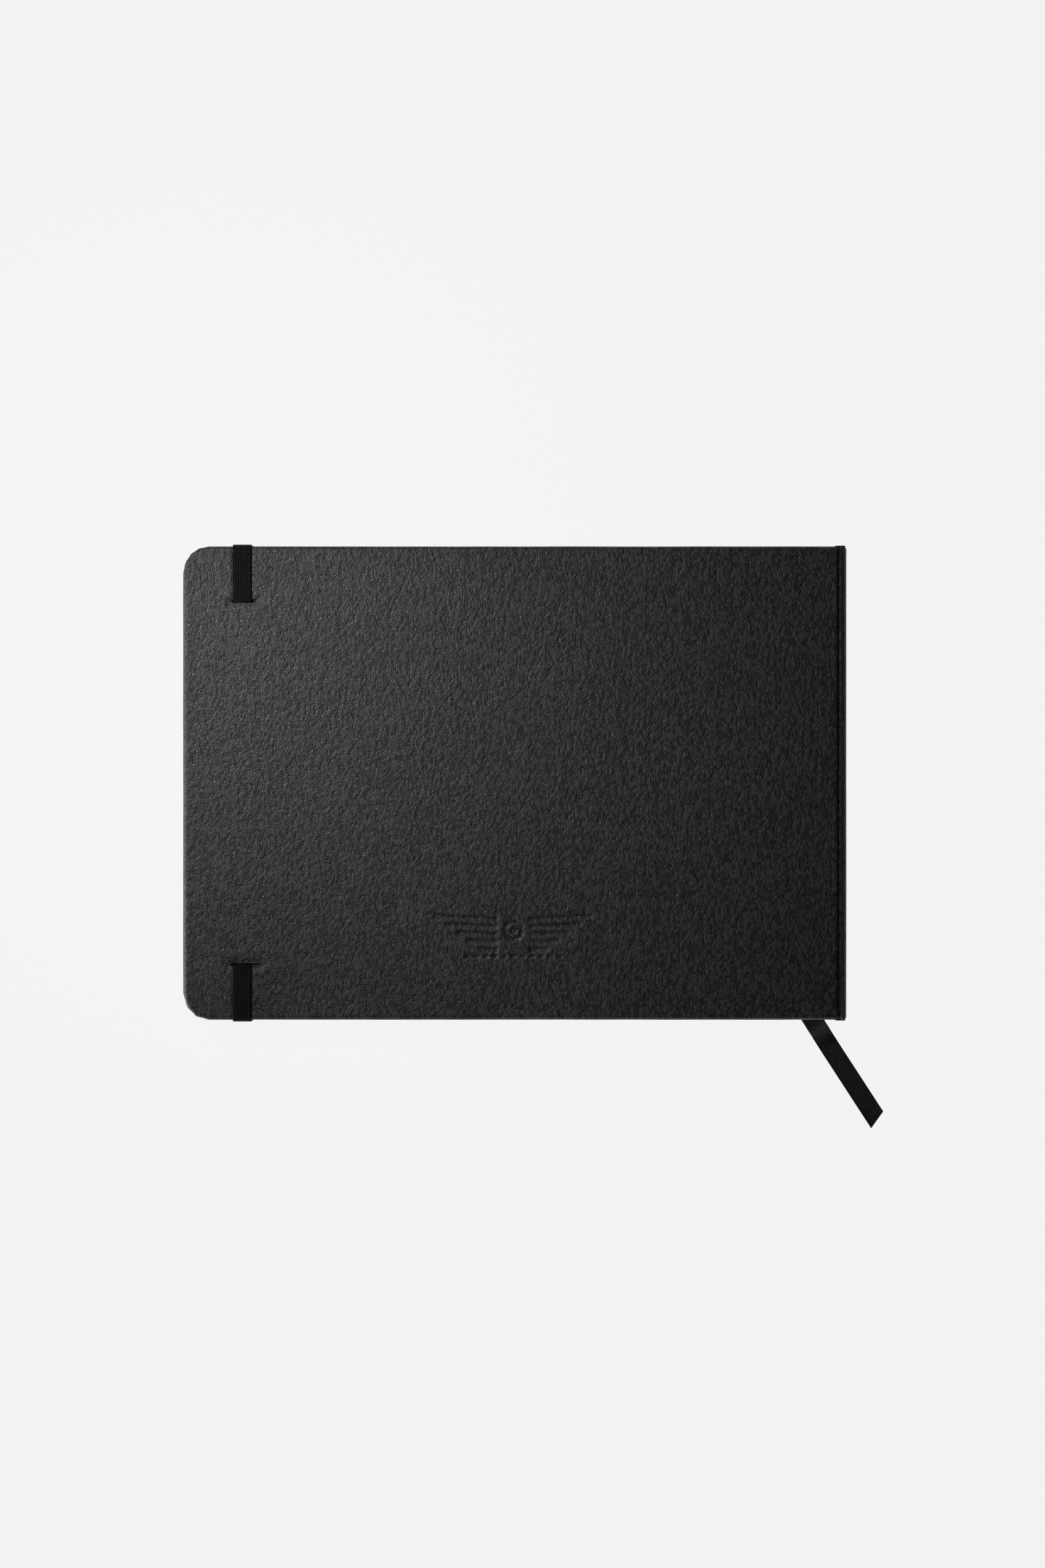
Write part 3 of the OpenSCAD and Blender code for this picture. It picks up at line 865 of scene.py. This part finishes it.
class LOGBOOK_OT_case(bpy.types.Operator):
    """Wrap the boards and the spine in leatherette"""

    bl_idname = "logbook.case"
    bl_label = "Leatherette case"

    def execute(self, context):
        cover = context.scene.logbook_cover

        def back_dent(s, y):
            return slit_dent(s, y) + emblem_dent(s, y, cover) + board_swell(s, y)

        back = case_half("back_case", BACK_LOW[0], 1, cover, back_dent, MATERIALS["leatherette"])
        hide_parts("back_covering", "back_joint_web", "spine_covering")
        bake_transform(back)
        front = case_half("front_case", FRONT_LOW[0], -1, cover, channel_dent,
                          MATERIALS["leatherette"])
        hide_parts("front_covering", "front_joint_web")
        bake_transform(front)
        return {"FINISHED"}


class LOGBOOK_OT_pages(bpy.types.Operator):
    """Build each sewn section as separate leaves"""

    bl_idname = "logbook.pages"
    bl_label = "Sections"

    def execute(self, context):
        pages = context.scene.logbook_pages
        dice = random.Random(7)
        for name in SECTION_NAMES:
            low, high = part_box(name)
            pitch = (high[2] - low[2]) / pages.leaves
            mesh = bmesh.new()
            uv = mesh.loops.layers.uv.new("page")
            for k in range(pages.leaves):
                fore = PAGE_FORE + dice.uniform(0.0, 0.16) * MM
                half = HALF_PAGE - dice.uniform(0.0, 0.10) * MM
                columns = spread([
                    fore, (fore + pages.corner_radius, 1.0 * MM), (FOLD_X - 22 * MM, 19 * MM),
                    (FOLD_X - 14 * MM, 2 * MM), (FOLD_X, 0.8 * MM)])
                rows = spread([
                    -half, (-half + pages.corner_radius, 1.0 * MM),
                    (half - pages.corner_radius, 24 * MM), (half, 1.0 * MM)])
                verts = grid_sheet(mesh, columns, rows)
                round_corners(verts, fore, half, pages.corner_radius)
                middle = (pages.leaves - 1) / 2
                for v in verts:
                    # Leaves close up slightly where the thread holds them
                    near_fold = 1 - 0.45 * (1 - smooth((FOLD_X - v.co.x) / (9 * MM)))
                    v.co.z = (low[2] + high[2]) / 2 + (k - middle) * pitch * near_fold
            # The ruling is printed on the leaf, so it is laid by UV and turns with it
            for face in mesh.faces:
                for loop in face.loops:
                    loop[uv].uv = loop.vert.co.xy
            section = finish_mesh(name + "_leaves", mesh, [MATERIALS["page_paper"]], False)
            add_modifier(section, "SOLIDIFY", thickness=pitch * 0.8, offset=0.0)
            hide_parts(name)
            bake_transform(section)
        return {"FINISHED"}


class LOGBOOK_OT_elastic(bpy.types.Operator):
    """Stretch the elastic round the closed book and anchor it through the slits"""

    bl_idname = "logbook.elastic"
    bl_label = "Elastic closure"

    def execute(self, context):
        trim = context.scene.logbook_trim
        thick = ELASTIC_T - 0.12 * MM
        top = TOP_Z + ELASTIC_T / 2 - 0.08 * MM
        bottom = FRONT_RUN_LOW[2] + thick / 2 + 0.03 * MM
        edge = context.scene.logbook_cover.edge_radius
        wall = HALF_COVER + thick / 2 + 0.05 * MM
        turn = wall - (HALF_COVER - edge)
        corner_y = HALF_COVER - edge
        head = [Vector((ELASTIC_X, SLIT_Y, TOP_Z - 1.3 * MM))]
        head += bend_arc((SLIT_Y + 0.62 * MM, top - 0.62 * MM), 0.62 * MM, 180, 90)
        head += bend_arc((corner_y, top - turn), turn, 90, 0)
        head += bend_arc((corner_y, bottom + turn), turn, 0, -90)
        tail = [Vector((p.x, -p.y, p.z)) for p in reversed(head)]
        line = fill_line(head + tail, 1.0 * MM)
        band = strip("elastic_band", line, elastic_across, ELASTIC_W,
                     elastic_section(trim, 1.0), thick, MATERIALS["elastic_weave"])
        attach(band, "elastic")
        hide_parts("elastic_head_run", "elastic_tail_run", "elastic_front_run")
        for modifier in list(band.modifiers):
            context.view_layer.objects.active = band
            with context.temp_override(object=band, active_object=band):
                bpy.ops.object.modifier_apply(modifier=modifier.name)
        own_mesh(band)
        bed = (HEAD_TAB_LOW[2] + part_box("back_board")[0][2]) / 2 + 0.1 * MM
        inner = HEAD_TAB_LOW[1]
        for name, side in (("head", 1), ("tail", -1)):
            path = [Vector((ELASTIC_X, inner, bed))]
            path += bend_arc((SLIT_Y - 0.4 * MM, bed + 0.4 * MM), 0.4 * MM, -90, 0)
            path += [Vector((ELASTIC_X, SLIT_Y, TOP_Z - 1.0 * MM))]
            path = fill_line([Vector((p.x, side * p.y, p.z)) for p in path], 1.0 * MM)
            tab = strip("elastic_tab_" + name, path, elastic_across, ELASTIC_W - 0.1 * MM,
                        elastic_section(trim, 0.0), thick * 0.8, MATERIALS["elastic_weave"])
            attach(tab, "back_cover")
            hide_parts("elastic_%s_tab" % name)
        return {"FINISHED"}


class LOGBOOK_OT_stage(bpy.types.Operator):
    """Set the floor, the lights and the overhead camera"""

    bl_idname = "logbook.stage"
    bl_label = "Stage"

    def execute(self, context):
        scene = context.scene
        # A round sweep: the floor runs up into a wall all the way round
        mesh = bmesh.new()
        bmesh.ops.create_circle(mesh, cap_ends=True, segments=64, radius=SWEEP_FLAT)
        bmesh.ops.translate(mesh, verts=mesh.verts, vec=(0, 0, -SWEEP_DROP))
        rim = [e for e in mesh.edges if e.is_boundary]
        for turn in (15, 30, 45, 60, 75, 90):
            made = bmesh.ops.extrude_edge_only(mesh, edges=rim)["geom"]
            rim = [g for g in made if isinstance(g, bmesh.types.BMEdge)]
            reach = SWEEP_FLAT + SWEEP_BEND * math.sin(math.radians(turn))
            height = SWEEP_BEND * (1 - math.cos(math.radians(turn)))
            height += SWEEP_WALL if turn == 90 else 0.0
            for v in {v for e in rim for v in e.verts}:
                flat = Vector((v.co.x, v.co.y, 0)).normalized() * reach
                v.co = (flat.x, flat.y, height)
        bmesh.ops.recalc_face_normals(mesh, faces=mesh.faces)
        floor = finish_mesh("floor", mesh, [studio_floor()])

        world = bpy.data.worlds.new("studio")
        scene.world = world
        world.use_nodes = True
        # The room is bright all round, dark overhead, and darker still towards the spine
        tree = world.node_tree
        shade = tree.nodes["Background"]
        shade.inputs["Strength"].default_value = 0.18
        way_up = add_node(tree, "ShaderNodeSeparateXYZ", None, {
            "Vector": add_node(tree, "ShaderNodeTexCoord").outputs["Generated"]})
        to_spine = add_node(tree, "ShaderNodeMath", {"operation": "MAXIMUM"}, {
            0: way_up.outputs["X"], 1: 0.0})
        shade_at = add_node(tree, "ShaderNodeMath", {"operation": "MULTIPLY_ADD"}, {
            0: to_spine.outputs[0], 1: 0.45, 2: way_up.outputs["Z"]})
        ceiling = add_node(tree, "ShaderNodeMapRange", None, {
            "Value": shade_at.outputs[0], "From Min": 0.55, "From Max": 0.80})
        tint(tree, shade.inputs["Color"], ceiling.outputs[0], [(0.0, "#f4f5f7"), (1.0, "#2a2a2b")])

        for name, (place, aim, size, power, beam) in LIGHTS.items():
            lamp = bpy.data.lights.new(name, "AREA")
            lamp.shape = "RECTANGLE"
            lamp.size, lamp.size_y = size
            lamp.energy = power
            lamp.spread = math.radians(beam)
            made = bpy.data.objects.new(name, lamp)
            made.location = place
            way = Vector(aim) - Vector(place)
            made.rotation_euler = way.to_track_quat("-Z", "Y").to_euler()
            scene.collection.objects.link(made)

        camera_data = bpy.data.cameras.new("overhead")
        camera_data.lens = 100
        camera_data.sensor_width = 36
        camera_data.clip_start = 0.05
        camera = bpy.data.objects.new("overhead", camera_data)
        camera.location = (CAMERA_X, CAMERA_Y, CAMERA_HEIGHT + TOP_Z)
        camera.rotation_euler = (0, 0, 0)
        scene.collection.objects.link(camera)
        scene.camera = camera
        scene.view_settings.view_transform = "Standard"
        return {"FINISHED"}


class LOGBOOK_PT_panel(bpy.types.Panel):
    """The logbook's settings and building steps"""

    bl_idname = "LOGBOOK_PT_panel"
    bl_label = "Logbook"
    bl_space_type = "VIEW_3D"
    bl_region_type = "UI"
    bl_category = "Logbook"

    def draw(self, context):
        layout = self.layout
        for group in ("logbook_cover", "logbook_pages", "logbook_trim"):
            settings = getattr(context.scene, group)
            box = layout.box()
            for name in settings.__annotations__:
                box.prop(settings, name)
        for step in STEPS:
            layout.operator(step.bl_idname)


STEPS = [LOGBOOK_OT_stage, LOGBOOK_OT_materials, LOGBOOK_OT_ribbon, LOGBOOK_OT_case,
         LOGBOOK_OT_pages, LOGBOOK_OT_elastic]
GROUPS = {"logbook_cover": CoverSettings, "logbook_pages": PageSettings,
          "logbook_trim": TrimSettings}


def register():
    for kind in GROUPS.values():
        bpy.utils.register_class(kind)
    for kind in STEPS + [LOGBOOK_PT_panel]:
        bpy.utils.register_class(kind)
    for name, kind in GROUPS.items():
        setattr(bpy.types.Scene, name, bpy.props.PointerProperty(type=kind))


def unregister():
    for name in GROUPS:
        delattr(bpy.types.Scene, name)
    for kind in [LOGBOOK_PT_panel] + STEPS[::-1]:
        bpy.utils.unregister_class(kind)
    for kind in GROUPS.values():
        bpy.utils.unregister_class(kind)


def main():
    register()
    bpy.ops.logbook.stage()
    bpy.ops.logbook.materials()
    bpy.ops.logbook.ribbon()
    bpy.ops.logbook.case()
    bpy.ops.logbook.pages()
    bpy.ops.logbook.elastic()


if __name__ == "__main__":
    main()
